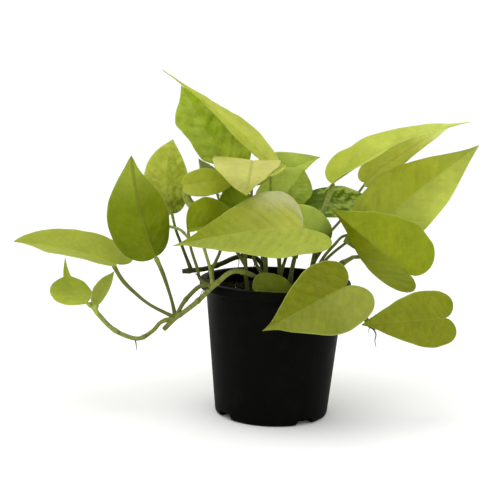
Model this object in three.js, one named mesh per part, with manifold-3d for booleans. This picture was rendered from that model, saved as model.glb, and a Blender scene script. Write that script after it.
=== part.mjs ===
// A neon pothos in a round plastic nursery pot.
// Millimetres, +Z up, +X to the right and -Y towards the viewer. The origin is the centre of the pot's
// underside, where the pot stands.
import * as THREE from 'three';
import { mergeVertices } from 'three/addons/utils/BufferGeometryUtils.js';
import Module from 'manifold-3d';

const wasm = await Module();
wasm.setup();

// ---- driving dimensions ----

const pot = {
  rimRadius: 60, // outside of the rolled lip
  height: 108,
  lipHeight: 7, // how far the lip comes down outside the wall
  lipEdge: 0.8, // rounding of the lip's edges
  shoulderRadius: 55, // wall just under the lip
  baseRadius: 45,
  wall: 1.4,
  floor: 2,
  cornerRadius: 3,
  sides: 48,
};
const drain = { count: 4, firstAngle: -54.5, width: 12, flare: 3.5, height: 4.8, inner: 35 };
const soil = { level: 99, crown: 2, clearance: 0.4, sides: 32 };
const blade = {
  thickness: 0.7,
  columns: 2, // strips on each side of the midrib
  lobeShare: 0.42, // share of the rows that the lobes take
  lobes: 0.18,
  widest: 0.22,
  full: 0.16,
  taper: 0.78,
  ribFoot: 0.1, // how far along the midrib the lobes' rows reach
  tipRows: 0.8, // share of the flank's rows before a long tip
  tipHalf: 0.12, // half-width where a long tip begins
};
const stalk = { rootRadius: 1.4, endRadius: 1, sides: 5, seatGap: 0.45 };
const stem = { sides: 7, stepLength: 9, holeGap: 0.5, rootDepth: 20 };

const colours = {
  pot: 0x141410, soil: 0x2e2216, stem: 0x8b9a45, oldStem: 0x55621f,
  neon: 0xa0b03c, bright: 0xb6c348, pale: 0xcdd07c, olive: 0x7a8a1e, green: 0x86a032, dark: 0x44690f,
};

// Each vine is a stem that stands in the soil, with its leaf stalks. `route` is the stem's line, and its
// first point is where it leaves the soil. A shoot is a bare side stem between two of the route's points,
// and a spur a side stem with a free end. A leaf's stalk starts at the route's point numbered `from`, or at
// the point given there, with the radius `stalk`. It passes the points `via` and meets the blade at `base`;
// `tip` is the blade's tip. `face` is the way the upper side looks. `fold` is how far the halves are raised
// towards it (degrees), and `curl` how much further the margins turn up. `arch` and `sway` are how far the
// midrib bows towards the face and to the right. `width` is twice a half's greatest width. `lobes`,
// `widest`, `full` and `taper` shape the outline and `drip` is the share of a long thin tip: see
// bladeOutline. A pair of values is for the left and the right half, seen from the upper side, tip up.
const vines = [
  {
    name: 'vine_trailing',
    colour: 'stem',
    radius: 2.1,
    route: [[-8, -29, 99], [-10, -31, 108], [-16, -36, 115.5], [-24, -43.5, 120.3], [-33, -51, 122.3],
      [-38, -53, 119.8], [-43, -52, 115], [-48, -50, 110], [-55, -46, 102], [-62, -39, 94], [-70, -31, 86],
      [-77, -27, 80], [-86, -24, 70]],
    spurs: [
      { radius: 1.1, points: [[-69, -15, 141], [-76, -6, 146], [-85, 4, 147]] },
      { radius: 1.7, points: [[-77, -27, 80], [-88, -25, 76], [-95, -23, 68], [-106, -20, 61],
        [-119, -20, 64], [-128, -22, 70], [-138, -24, 81]] },
    ],
    shoots: [{ from: 7, to: 11, radius: 1.8, via: [[-57, -43, 109], [-66, -36, 100], [-72, -30, 91]] }],
    leaves: [
      { name: 'leaf_left_tall', colour: 'olive', from: 11,
        via: [[-80, -23, 91], [-84, -19, 102], [-89, -15, 114]], base: [-95, -12, 125.5],
        tip: [-113, -30, 205], face: [-0.3, 1, 0.2], width: [47, 57], fold: [22, 22], arch: 1, sway: 3,
        lobes: [0.02, 0.04], widest: [0.38, 0.32], full: [0.3, 0.5], drip: 0.06 },
      { name: 'leaf_left_far', colour: 'neon', from: 11,
        via: [[-98, -18, 88], [-110, -10, 95], [-121, -4, 104]], base: [-129, 0, 117],
        tip: [-205, -15, 134], face: [0, -0.25, 1], width: [54, 52], fold: [11, 20], arch: 4,
        lobes: [0.05, 0.2], widest: [0.5, 0.1], full: [0.4, 0.8] },
      { name: 'leaf_left_cupped', colour: 'neon', from: [-138, -24, 81], stalk: 1.5,
        via: [[-141, -24, 85], [-143, -23, 87]], base: [-146, -26, 89], tip: [-170, 18, 118],
        face: [0.1, -0.5, 1], width: [38, 24], fold: [0, 5], arch: -4, sway: -4, lobes: [0, 0.02],
        widest: [0.3, 0.25], full: 0.9, taper: [0.85, 0.8], drip: 0.35 },
      { name: 'leaf_left_unrolling', colour: 'neon', from: [-138, -24, 81], stalk: 1.5,
        via: [[-139, -27, 85]], base: [-138, -32, 90], tip: [-125, -27, 115], face: [0.5, -0.8, 0],
        width: [20, 7], fold: [15, 15], lobes: 0.05, widest: 0.4, full: 0.6 },
      { name: 'leaf_small_left_lower', colour: 'olive', from: 7,
        via: [[-58, -38, 113], [-61, -29, 120], [-67, -17, 134]], base: [-70, -13, 147],
        tip: [-25, 10, 153], face: [0, -0.9, 0.4], width: [46, 24], fold: [8, 60], arch: 2, lobes: 0,
        widest: 0.35, full: 0.4 },
      { name: 'leaf_small_left_upper', colour: 'olive', from: 7,
        via: [[-51, -38, 122], [-56, -20, 133], [-62, 3, 149], [-67, 8, 162], [-72, 10, 169]],
        base: [-75, 9, 179], tip: [-32, 21, 183], face: [0, -0.8, 0.5], width: [24, 26], fold: [8, 8],
        arch: 3, lobes: 0.05, widest: 0.35, full: 0.5 },
      { name: 'leaf_top_puckered', colour: 'green', from: 7,
        via: [[-49, -38, 121], [-47, -24, 125], [-44, -8, 132], [-43, 26, 160]], base: [-40, 46, 190],
        tip: [-82, 58, 257], face: [-0.2, -1, 0.4], width: [40, 54], fold: [12, 12], arch: 4,
        lobes: [-0.1, 0.1], widest: [0.52, 0.3], full: [0.45, 0.3] },
    ],
  },
  {
    name: 'vine_cut_end',
    colour: 'oldStem',
    radius: 2.2,
    route: [[-6, 25, 99], [-7.5, 24, 108], [-14, 22.5, 119.5], [-24, 21, 122.5], [-33, 19, 121],
      [-43, 14, 117], [-55, 7, 113.7], [-67, 2, 112.5], [-74, 0, 112]],
    leaves: [
      { name: 'leaf_left_behind', colour: 'neon', from: 7, stalk: 1.4,
        via: [[-71, 6, 121], [-76, 11, 132], [-81, 16, 143]], base: [-85, 20, 156], tip: [-86, 35, 214],
        face: [-0.2, -1, 0.3], width: [37, 38], fold: [10, 14], arch: 3, sway: -4, lobes: 0.04,
        widest: 0.4, full: 0.65 },
    ],
  },
  {
    name: 'vine_centre_left',
    colour: 'stem',
    radius: 1.7,
    route: [[-22, -4, 99], [-23, -4, 107], [-24, -2, 119], [-25, 2, 130]],
    leaves: [
      { name: 'leaf_inner_shaded', colour: 'dark', from: 3, via: [[-31, 14, 143], [-32, 21, 152]],
        base: [-31, 16, 158], tip: [-42, 24, 182], face: [0, -1, 0.3], width: 30, fold: [10, 10], arch: 2 },
      { name: 'leaf_torn_tip', colour: 'green', from: 2, via: [[-40, 18, 140], [-49, 58, 166]],
        base: [-54, 54, 180], tip: [-66, 52, 198], face: [0, -1, 0.3], width: 16, fold: [15, 15] },
    ],
  },
  {
    name: 'vine_centre',
    colour: 'stem',
    radius: 1.9,
    route: [[-8, -2, 99], [-8, -1, 107], [-8, 1, 119], [-9, 4, 131], [-9, 8, 142]],
    leaves: [
      { name: 'leaf_top_slender', colour: 'bright', from: 3, via: [[-7, 22, 157], [-6, 25, 180]],
        base: [-5, 22, 198], tip: [-95, 32, 269], face: [0.45, -0.6, 0.66], width: [19, 29], fold: [2, 2],
        arch: 4, lobes: 0.05, full: [0.1, 0.2], taper: [0.75, 0.8], drip: 0.22 },
      { name: 'leaf_pale_young', colour: 'pale', from: 1,
        via: [[-18, 2, 125], [-21, 8, 153], [-21, 10, 182]], base: [-21, 8, 201], tip: [-25, -42, 178.5],
        face: [0, -0.25, 1], width: [45, 63], fold: [2, 3], arch: 2, lobes: [0.04, 0.1], widest: 0,
        full: 0.75, taper: 0.6 },
      { name: 'leaf_rolled_young', colour: 'pale', from: 4, stalk: 1.2, via: [[-2, 17, 160], [-6, 18, 180]],
        base: [-7, 15, 189.5], tip: [5.5, 12, 197.5], face: [0, -0.7, 0.7], width: [9, 10],
        fold: [35, 20], lobes: 0.05, widest: 0.45, full: 0.7 },
    ],
  },
  {
    name: 'vine_front_centre',
    colour: 'stem',
    radius: 1.9,
    route: [[10, -16, 99], [11, -16, 106], [12, -16, 117], [14, -15, 128]],
    leaves: [
      { name: 'leaf_front_centre', colour: 'neon', from: 3, stalk: 1.9, via: [[18, -14, 142]],
        base: [19, -25, 153], tip: [-79, -50, 140], face: [0, -0.8, 0.6], width: [60, 64], fold: [16, 16],
        curl: [0, -14], arch: 6, lobes: [0.21, 0.02], widest: [0.22, 0.15], full: [0.16, 0.05] },
    ],
  },
  {
    name: 'vine_centre_right',
    colour: 'stem',
    radius: 1.9,
    route: [[4, 18, 99], [4, 20, 107], [3, 23, 119], [1, 26, 131]],
    leaves: [
      { name: 'leaf_back_pointed', colour: 'green', from: 3, via: [[-6, 40, 155]], base: [-13, 50, 178],
        tip: [35, 54, 202], face: [-0.1, -0.8, 0.5], width: [41, 36], fold: [10, 10], arch: 3,
        full: [0.3, 0.05] },
      { name: 'leaf_back_round', colour: 'green', from: 2, via: [[4, 33, 146]], base: [1, 32, 165],
        tip: [21, 37, 193], face: [0.1, -1, 0.3], width: [32, 36], fold: [8, 8], lobes: 0.08,
        widest: 0.45, full: 0.9 },
      { name: 'leaf_marbled_green', colour: 'dark', from: 1, via: [[14, 34, 138], [20, 48, 152]],
        base: [22, 52, 161], tip: [81, 52, 167], face: [0, -0.8, 0.6], width: [28, 32], fold: [6, 6],
        arch: 4, lobes: 0.04, widest: 0.4, full: 0.6 },
    ],
  },
  {
    name: 'vine_right',
    colour: 'stem',
    radius: 1.8,
    route: [[27, 4, 99], [28, 5, 107], [29, 7, 118], [31, 10, 129]],
    leaves: [
      { name: 'leaf_right_upper', colour: 'bright', from: 3, stalk: 1.8,
        via: [[34, 20, 150], [39, 18, 168]], base: [44, 20, 184], tip: [150, 20, 236],
        face: [-0.42, -0.35, 0.9], width: [46, 50], fold: [27, 25], arch: 8, lobes: [0.03, 0.1],
        widest: [0.15, 0.22] },
      { name: 'leaf_right_upper_behind', colour: 'neon', from: 2,
        via: [[40, 40, 135], [56, 66, 150], [67, 66, 169]], base: [73, 50, 183], tip: [147, 60, 233],
        face: [-0.3, -0.6, 0.7], width: [36, 25], fold: [10, 10], arch: 4, lobes: 0.05 },
      { name: 'leaf_right_long', colour: 'neon', from: 1, via: [[42, 16, 124], [64, 28, 140]],
        base: [82, 24, 153], tip: [160, 24, 218], face: [-0.2, -1, 0.3], width: [56, 60], fold: [14, 14],
        arch: 4, full: [0.16, 0.3] },
      { name: 'leaf_right_tucked', colour: 'olive', from: 1,
        via: [[38, 2, 127], [46, 6, 136], [54, 16, 142], [70, 22, 143]], base: [79, 14, 143],
        tip: [53, 6, 139], face: [0, -0.9, 0.4], width: 26, fold: [6, 6], full: 0.6 },
      { name: 'leaf_shaded_right', colour: 'green', from: 2, via: [[32, 9, 124], [35, 8, 129]],
        base: [38, 0, 136], tip: [4, 12, 165], face: [0, -0.9, 0.4], width: [34, 34], fold: [10, 10],
        arch: 2, lobes: 0.02, widest: 0.35, full: 0.8 },
    ],
  },
  {
    name: 'vine_front_right',
    colour: 'stem',
    radius: 2.2,
    route: [[16, -33, 99], [19, -35, 106], [26, -39, 115], [36, -43, 118], [46, -45, 114], [56, -44, 104],
      [64, -43, 93], [74, -42, 81]],
    leaves: [
      { name: 'leaf_front_right', colour: 'neon', from: 2, via: [[36, -47, 122], [46, -47, 119]],
        base: [51, -50, 113], tip: [-10, -76, 83], face: [0.1, -0.9, 0.4], width: [66, 52],
        fold: [16, 16], lobes: [0.22, 0.12], full: [0.16, 0.08] },
      { name: 'leaf_right_low', colour: 'neon', from: 7,
        via: [[92, -36, 78], [113, -22, 78], [128, -16, 81]], base: [133, -20, 85], tip: [65, -50, 84],
        face: [0, -1, 0.3], width: 46, fold: [14, 14], lobes: 0.12, full: [0.16, 0.4] },
      { name: 'leaf_in_pot', colour: 'green', from: 1, via: [[0, -42, 104]], base: [-17, -47, 107],
        tip: [13, -47, 107], face: [0, -0.95, 0.25], width: [28, 14], fold: [4, 4], lobes: 0.05,
        full: [0.95, 0.5], taper: 0.9 },
    ],
  },
  {
    name: 'vine_right_low',
    colour: 'stem',
    radius: 2.2,
    route: [[32, -18, 99], [35, -21, 106], [41, -25, 117], [50, -28, 127]],
    leaves: [
      { name: 'leaf_right_hanging', colour: 'olive', from: 3, stalk: 2,
        via: [[58, -10, 128], [62, 4, 127], [74, 13, 126], [89, 13, 124], [99, 3, 119]],
        base: [105, -10, 117], tip: [38, -30, 171], face: [-0.2, -0.95, -0.25], width: [59, 68],
        fold: [-28, -28], lobes: [0.2, 0.14], widest: [0.12, 0.22], full: [0, 0.16] },
    ],
  },
  {
    name: 'vine_back',
    colour: 'stem',
    radius: 2.2,
    route: [[-8, 38, 99], [-9, 40, 107], [-10, 43, 119], [-11, 46, 131]],
    leaves: [
      { name: 'leaf_rear_left', colour: 'neon', from: 3, via: [[-20, 56, 148]], base: [-28, 70, 154],
        tip: [-46, 124, 148], face: [0.25, 0.1, 1], width: 40, fold: [10, 10], arch: 6 },
      { name: 'leaf_rear_right', colour: 'neon', from: 2, via: [[2, 56, 142]], base: [10, 70, 154],
        tip: [22, 128, 148], face: [-0.25, 0.1, 1], width: 40, fold: [10, 10], arch: 6 },
      { name: 'leaf_rear_low', colour: 'olive', from: 1, via: [[-10, 56, 122]], base: [-12, 70, 132],
        tip: [-8, 124, 118], face: [0, 0.3, 1], width: 42, fold: [10, 10], arch: 6 },
    ],
  },
];

// ---- blades ----

const vector = (p) => new THREE.Vector3(...p);
const radians = THREE.MathUtils.degToRad;

// A leaf's value for one side of its midrib: 0 is the left half, 1 the right.
const sided = (value, side) => (Array.isArray(value) ? value[side] : value);

// One side of the blade's outline, as shares of its length and of its half-width: from the stalk back round
// the lobe to the widest place, then forward to the tip.
function bladeOutline(leaf, side) {
  const lobes = sided(leaf.lobes ?? blade.lobes, side);
  const widest = sided(leaf.widest ?? blade.widest, side);
  const full = sided(leaf.full ?? blade.full, side);
  const taper = sided(leaf.taper ?? blade.taper, side);
  const { drip = 0 } = leaf;
  const point = (along, half) => new THREE.Vector2(along, half);
  const neck = point(1 - drip, drip ? blade.tipHalf : 0);
  const lobe = new THREE.CubicBezierCurve(
    point(0, 0), point(-1.1 * lobes, 0.08), point(-1.6 * lobes, 0.95), point(widest, 1));
  const flank = new THREE.CubicBezierCurve(
    point(widest, 1), point(widest + 0.28 * neck.x, 1), point(taper * neck.x, full), neck);
  const end = new THREE.LineCurve(neck, point(1, 0));
  return (share) => {
    if (share < blade.lobeShare) return lobe.getPoint(share / blade.lobeShare);
    const part = (share - blade.lobeShare) / (1 - blade.lobeShare);
    if (!drip) return flank.getPoint(part);
    return part < blade.tipRows ? flank.getPoint(part / blade.tipRows)
      : end.getPoint((part - blade.tipRows) / (1 - blade.tipRows));
  };
}

// Where a row of the blade crosses its midrib, as a share of its length.
function ribAt(leaf, share) {
  const { lobeShare, ribFoot, tipRows } = blade;
  const { drip = 0 } = leaf;
  if (share < lobeShare) return ribFoot * (share / lobeShare) ** 2;
  const part = (share - lobeShare) / (1 - lobeShare);
  if (!drip) return ribFoot + (1 - ribFoot) * part;
  return part < tipRows ? ribFoot + (1 - drip - ribFoot) * part / tipRows
    : 1 - drip * (1 - part) / (1 - tipRows);
}

// The blade's own directions at its base: along to the tip, up out of its face, and to its right.
function bladeAxes(leaf) {
  const base = vector(leaf.base);
  const along = vector(leaf.tip).sub(base);
  const length = along.length();
  along.normalize();
  const face = vector(leaf.face);
  face.addScaledVector(along, -face.dot(along)).normalize();
  const right = along.clone().cross(face);
  return { base, length, along, face, right };
}

// A point of the blade's middle surface, `along` in shares of its length and `half` in mm to the right of
// the midrib.
function bladePoint(leaf, axes, along, half) {
  const { arch = 0, sway = 0, curl = 0 } = leaf;
  const side = half < 0 ? 0 : 1;
  const within = Math.max(along, 0);
  const bow = along < 0 ? 4 * along : 4 * along * (1 - along);
  const bowSlope = 4 - 8 * within;
  const tangent = axes.along.clone().multiplyScalar(axes.length)
    .addScaledVector(axes.face, arch * bowSlope).addScaledVector(axes.right, sway * bowSlope).normalize();
  const up = axes.face.clone().addScaledVector(tangent, -axes.face.dot(tangent)).normalize();
  const out = tangent.clone().cross(up);
  const start = radians(sided(leaf.fold, side));
  const distance = Math.abs(half);
  const bend = radians(sided(curl, side) || 0.01) / (sided(leaf.width, side) / 2);
  const end = start + bend * distance;
  return axes.base.clone()
    .addScaledVector(axes.along, along * axes.length)
    .addScaledVector(axes.face, arch * bow)
    .addScaledVector(axes.right, sway * bow)
    .addScaledVector(out, Math.sign(half) * (Math.sin(end) - Math.sin(start)) / bend)
    .addScaledVector(up, (Math.cos(start) - Math.cos(end)) / bend);
}

function bladeGeometry(leaf) {
  const axes = bladeAxes(leaf);
  const outlines = [bladeOutline(leaf, 0), bladeOutline(leaf, 1)];
  const rows = axes.length > 60 ? 11 : 8;
  const { columns } = blade;
  const points = [];
  for (let row = 0; row <= rows; row += 1) {
    const share = row / rows;
    const rib = ribAt(leaf, share);
    for (let column = -columns; column <= columns; column += 1) {
      const side = column < 0 ? 0 : 1;
      const edge = outlines[side](share);
      const part = Math.abs(column) / columns;
      const along = rib + (edge.x - rib) * part ** 1.4;
      const half = Math.sign(column) * edge.y * part * sided(leaf.width, side) / 2;
      points.push(bladePoint(leaf, axes, along, half));
    }
  }
  const across = 2 * columns + 1;
  const triangles = [];
  for (let row = 0; row < rows; row += 1) {
    for (let column = 0; column < across - 1; column += 1) {
      const a = row * across + column;
      const b = a + across;
      if (column < columns) triangles.push([a, a + 1, b + 1], [a, b + 1, b]);
      else triangles.push([a, a + 1, b], [a + 1, b + 1, b]);
    }
  }
  return thickened(points, triangles);
}

// Gives a sheet its thickness: the same triangles on both faces, and a wall round the edge.
function thickened(points, triangles) {
  const sheet = mergeVertices(closedGeometry(points.flatMap((p) => p.toArray()), triangles), 1e-3);
  const corners = Array.from(sheet.index.array);
  const kept = [];
  for (let i = 0; i < corners.length; i += 3) {
    const [a, b, c] = corners.slice(i, i + 3);
    if (a !== b && b !== c && c !== a) kept.push([a, b, c]);
  }
  sheet.setIndex(kept.flat());
  sheet.computeVertexNormals();
  const place = sheet.getAttribute('position');
  const normal = sheet.getAttribute('normal');
  const count = place.count;
  const positions = [];
  for (const offset of [blade.thickness / 2, -blade.thickness / 2]) {
    for (let i = 0; i < count; i += 1) {
      positions.push(
        place.getX(i) + offset * normal.getX(i),
        place.getY(i) + offset * normal.getY(i),
        place.getZ(i) + offset * normal.getZ(i));
    }
  }
  const solid = [...kept];
  for (const [a, b, c] of kept) solid.push([a + count, c + count, b + count]);
  for (const [a, b] of openEdges(kept)) solid.push([b, a, a + count], [b, a + count, b + count]);
  return closedGeometry(positions, solid);
}

// The directed edges that only one triangle uses.
function openEdges(triangles) {
  const edges = new Map();
  for (const [a, b, c] of triangles) {
    for (const [p, q] of [[a, b], [b, c], [c, a]]) edges.set(`${p} ${q}`, [p, q]);
  }
  return [...edges.values()].filter(([p, q]) => !edges.has(`${q} ${p}`));
}

function closedGeometry(positions, triangles) {
  const geometry = new THREE.BufferGeometry();
  geometry.setAttribute('position', new THREE.Float32BufferAttribute(positions, 3));
  geometry.setIndex(triangles.flat());
  return geometry;
}

// ---- tubes, joins and cuts ----

// A closed round tube along a curve, with a radius for each share of its length.
function tube(curve, steps, sides, radiusAt) {
  const { normals, binormals } = curve.computeFrenetFrames(steps, false);
  const positions = [];
  const triangles = [];
  for (let step = 0; step <= steps; step += 1) {
    const centre = curve.getPointAt(step / steps);
    const radius = radiusAt(step / steps);
    for (let side = 0; side < sides; side += 1) {
      const angle = 2 * Math.PI * side / sides;
      const point = centre.clone()
        .addScaledVector(normals[step], radius * Math.cos(angle))
        .addScaledVector(binormals[step], radius * Math.sin(angle));
      positions.push(...point.toArray());
      if (step === steps) continue;
      const a = step * sides + side;
      const b = step * sides + (side + 1) % sides;
      triangles.push([a, b, b + sides], [a, b + sides, a + sides]);
    }
  }
  for (const step of [0, steps]) {
    positions.push(...curve.getPointAt(step / steps).toArray());
    const centre = positions.length / 3 - 1;
    for (let side = 0; side < sides; side += 1) {
      const a = step * sides + side;
      const b = step * sides + (side + 1) % sides;
      triangles.push(step ? [a, b, centre] : [b, a, centre]);
    }
  }
  return closedGeometry(positions, triangles);
}

const smoothCurve = (points) => new THREE.CatmullRomCurve3(points, false, 'centripetal');

function solidOf(geometry) {
  const bare = geometry.clone();
  for (const name of Object.keys(bare.attributes)) if (name !== 'position') bare.deleteAttribute(name);
  const merged = mergeVertices(bare, 1e-3);
  const corners = Array.from(merged.index.array);
  const kept = [];
  for (let i = 0; i < corners.length; i += 3) {
    const [a, b, c] = corners.slice(i, i + 3);
    if (a !== b && b !== c && c !== a) kept.push(a, b, c);
  }
  return new wasm.Manifold(new wasm.Mesh({
    numProp: 3,
    vertProperties: new Float32Array(merged.attributes.position.array),
    triVerts: new Uint32Array(kept),
  }));
}

function geometryOf(solid) {
  const { numProp, vertProperties, triVerts } = solid.getMesh();
  const positions = [];
  for (let i = 0; i < vertProperties.length; i += numProp) positions.push(...vertProperties.slice(i, i + 3));
  const geometry = new THREE.BufferGeometry();
  geometry.setAttribute('position', new THREE.Float32BufferAttribute(positions, 3));
  geometry.setIndex(Array.from(triVerts));
  return geometry;
}

// A solid of revolution about Z from an outline of [radius, height] points.
function turned(outline, sides) {
  const profile = outline.map(([radius, height]) => new THREE.Vector2(radius, height));
  return new THREE.LatheGeometry(profile, sides).rotateX(Math.PI / 2);
}

// ---- the object ----

const potted = new THREE.Group();

function addMesh(name, geometry, colour, roughness) {
  const material = new THREE.MeshStandardMaterial({ color: colours[colour], roughness, metalness: 0 });
  const mesh = new THREE.Mesh(geometry, material);
  mesh.name = name;
  potted.add(mesh);
}

// The wall leans out evenly from the foot to the lip.
const wallRadius = (height) => {
  const shoulder = pot.height - pot.lipHeight;
  return pot.baseRadius + (pot.shoulderRadius - pot.baseRadius) * height / shoulder;
};

function potSolid() {
  const { rimRadius, height, lipHeight, lipEdge, baseRadius, wall, floor, cornerRadius, sides } = pot;
  const outline = [[0, 0], [baseRadius - cornerRadius, 0]];
  for (const angle of [30, 60]) {
    outline.push([
      baseRadius - cornerRadius + cornerRadius * Math.sin(radians(angle)),
      cornerRadius - cornerRadius * Math.cos(radians(angle)),
    ]);
  }
  outline.push(
    [wallRadius(cornerRadius), cornerRadius],
    [wallRadius(height - lipHeight), height - lipHeight],
    [rimRadius - lipEdge, height - lipHeight],
    [rimRadius, height - lipHeight + lipEdge],
    [rimRadius, height - lipEdge],
    [rimRadius - lipEdge, height],
    [wallRadius(height) - wall + lipEdge, height],
    [wallRadius(height) - wall, height - lipEdge],
    [wallRadius(floor) - wall, floor],
    [0, floor],
  );
  let solid = solidOf(turned(outline, sides));
  for (let i = 0; i < drain.count; i += 1) {
    const angle = radians(drain.firstAngle) + 2 * Math.PI * i / drain.count;
    const notch = new THREE.Shape([
      new THREE.Vector2(-drain.width / 2 - drain.flare, -1),
      new THREE.Vector2(drain.width / 2 + drain.flare, -1),
      new THREE.Vector2(drain.width / 2, drain.height),
      new THREE.Vector2(-drain.width / 2, drain.height),
    ]);
    const cutter = new THREE.ExtrudeGeometry(notch, { depth: 20, bevelEnabled: false });
    cutter.rotateX(Math.PI / 2).rotateZ(Math.PI / 2).translate(drain.inner, 0, 0).rotateZ(angle);
    solid = solid.subtract(solidOf(cutter));
  }
  return solid;
}

function soilSolid() {
  const inset = pot.wall + soil.clearance;
  const bottom = pot.floor + drain.height;
  const outline = [
    [0, bottom],
    [wallRadius(bottom) - inset - 0.2, bottom],
    [wallRadius(soil.level - soil.crown) - inset - 0.2, soil.level - soil.crown],
    [30, soil.level - soil.crown / 3],
    [0, soil.level],
  ];
  return solidOf(turned(outline, soil.sides));
}

let ground = soilSolid();

for (const vine of vines) {
  const route = vine.route.map(vector);
  const root = route[0].clone().setZ(route[0].z - stem.rootDepth);
  const curve = smoothCurve([root, ...route]);
  const steps = Math.round(curve.getLength() / stem.stepLength);
  let solid = solidOf(tube(curve, steps, stem.sides, () => vine.radius));

  const holeFoot = root.clone().setZ(root.z - stem.holeGap);
  const hole = smoothCurve([holeFoot, ...route]);
  ground = ground.subtract(solidOf(tube(hole, steps, stem.sides, () => vine.radius + stem.holeGap)));

  for (const shoot of vine.shoots ?? []) {
    const line = smoothCurve([route[shoot.from], ...shoot.via.map(vector), route[shoot.to]]);
    solid = solid.add(solidOf(tube(line, shoot.via.length + 2, stem.sides, () => shoot.radius)));
  }
  for (const spur of vine.spurs ?? []) {
    const line = smoothCurve(spur.points.map(vector));
    solid = solid.add(solidOf(tube(line, spur.points.length, stalk.sides, () => spur.radius)));
  }
  for (const leaf of vine.leaves) {
    const { base, face } = bladeAxes(leaf);
    // The end of a stalk that comes in along the blade stands out by its radius, one that meets it head-on
    // by none. Drooping halves need room for it too.
    const slope = base.clone().sub(vector(leaf.via.at(-1))).normalize().dot(face);
    const droop = radians(Math.max(0, -sided(leaf.fold, 0)));
    const reach = stalk.endRadius * (Math.sqrt(1 - slope * slope) + Math.tan(droop));
    const seat = base.addScaledVector(face, -(blade.thickness / 2 + stalk.seatGap + reach));
    const foot = Array.isArray(leaf.from) ? vector(leaf.from) : route[leaf.from];
    const line = smoothCurve([foot, ...leaf.via.map(vector), seat]);
    const start = leaf.stalk ?? stalk.rootRadius;
    const radiusAt = (share) => start + (stalk.endRadius - start) * share;
    const stalkSteps = Math.max(4, Math.round(line.getLength() / stem.stepLength));
    solid = solid.add(solidOf(tube(line, stalkSteps, stalk.sides, radiusAt)));
    addMesh(leaf.name, bladeGeometry(leaf), leaf.colour, 0.4);
  }
  addMesh(vine.name, geometryOf(solid), vine.colour, 0.5);
}

addMesh('pot', geometryOf(potSolid()), 'pot', 0.55);
addMesh('soil', geometryOf(ground), 'soil', 0.95);

export default potted;
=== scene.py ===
import math
import random

import bmesh
import bpy
from mathutils import Matrix, Vector, noise


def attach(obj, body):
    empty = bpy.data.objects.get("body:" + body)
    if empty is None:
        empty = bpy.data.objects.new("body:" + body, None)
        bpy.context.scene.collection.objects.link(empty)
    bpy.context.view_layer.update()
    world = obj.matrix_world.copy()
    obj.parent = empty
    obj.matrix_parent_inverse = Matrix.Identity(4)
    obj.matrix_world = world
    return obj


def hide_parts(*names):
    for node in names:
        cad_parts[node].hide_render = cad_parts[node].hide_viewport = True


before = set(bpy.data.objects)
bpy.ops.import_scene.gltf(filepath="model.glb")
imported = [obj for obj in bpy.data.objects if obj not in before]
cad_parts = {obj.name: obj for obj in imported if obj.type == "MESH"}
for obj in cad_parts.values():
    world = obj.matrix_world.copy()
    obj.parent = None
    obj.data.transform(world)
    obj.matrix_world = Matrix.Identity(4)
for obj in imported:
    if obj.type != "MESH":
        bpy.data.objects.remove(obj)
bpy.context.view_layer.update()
random.seed(7)
mm = 0.001
print("frame loaded")


# ---- materials ----

def linear(hexColour):
    channels = [int(hexColour[i:i + 2], 16) / 255 for i in (1, 3, 5)]
    return [c / 12.92 if c <= 0.04045 else ((c + 0.055) / 1.055) ** 2.4 for c in channels] + [1.0]


def mixed(first, second, share):
    return [a + (b - a) * share for a, b in zip(first, second)]


def addObject(name, data):
    thing = bpy.data.objects.new(name, data)
    bpy.context.collection.objects.link(thing)
    return thing


def meshFrom(bm, name, *materials):
    mesh = bpy.data.meshes.new(name)
    bm.to_mesh(mesh)
    bm.free()
    for material in materials:
        mesh.materials.append(material)
    return mesh


# Adds a node. Settings and links are keyed by the socket's name or number, or by the node's own setting.
def addNode(tree, kind, settings={}, links={}):
    node = tree.nodes.new(kind)
    for key, value in settings.items():
        if isinstance(key, str) and hasattr(node, key):
            setattr(node, key, value)
        else:
            node.inputs[key].default_value = value
    for key, source in links.items():
        tree.links.new(source, node.inputs[key])
    return node.outputs[0]


def newMaterial(name):
    material = bpy.data.materials.new(name)
    material.use_nodes = True
    tree = material.node_tree
    return material, tree, tree.nodes["Principled BSDF"]


def objectPlace(tree):
    node = tree.nodes.new("ShaderNodeTexCoord")
    return node.outputs["Object"]


def attribute(tree, name, output="Fac"):
    node = tree.nodes.new("ShaderNodeAttribute")
    node.attribute_name = name
    return node.outputs[output]


# Noise with features of `size` mm.
def noiseAt(tree, place, size, detail=3.0, roughness=0.5):
    return addNode(tree, "ShaderNodeTexNoise",
                   {"Scale": 1 / (size * mm), "Detail": detail, "Roughness": roughness}, {"Vector": place})


def ranged(tree, value, low, high, toLow, toHigh, shape="LINEAR"):
    settings = {"interpolation_type": shape, "From Min": low, "From Max": high, "To Min": toLow,
                "To Max": toHigh}
    return addNode(tree, "ShaderNodeMapRange", settings, {"Value": value})


def times(tree, first, second):
    if isinstance(second, float):
        return addNode(tree, "ShaderNodeMath", {"operation": "MULTIPLY", 1: second}, {0: first})
    return addNode(tree, "ShaderNodeMath", {"operation": "MULTIPLY"}, {0: first, 1: second})


def plus(tree, first, second):
    return addNode(tree, "ShaderNodeMath", {"operation": "ADD"}, {0: first, 1: second})


def mixColour(tree, share, first, second):
    sockets = {"Color1": first, "Color2": second}
    settings = {key: value for key, value in sockets.items() if isinstance(value, list)}
    links = {key: value for key, value in sockets.items() if not isinstance(value, list)}
    (settings if isinstance(share, float) else links)["Fac"] = share
    return addNode(tree, "ShaderNodeMixRGB", settings, links)


def addBump(tree, shader, height, strength, distance):
    settings = {"Strength": strength, "Distance": distance * mm}
    bump = addNode(tree, "ShaderNodeBump", settings, {"Height": height})
    tree.links.new(bump, shader.inputs["Normal"])


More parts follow.
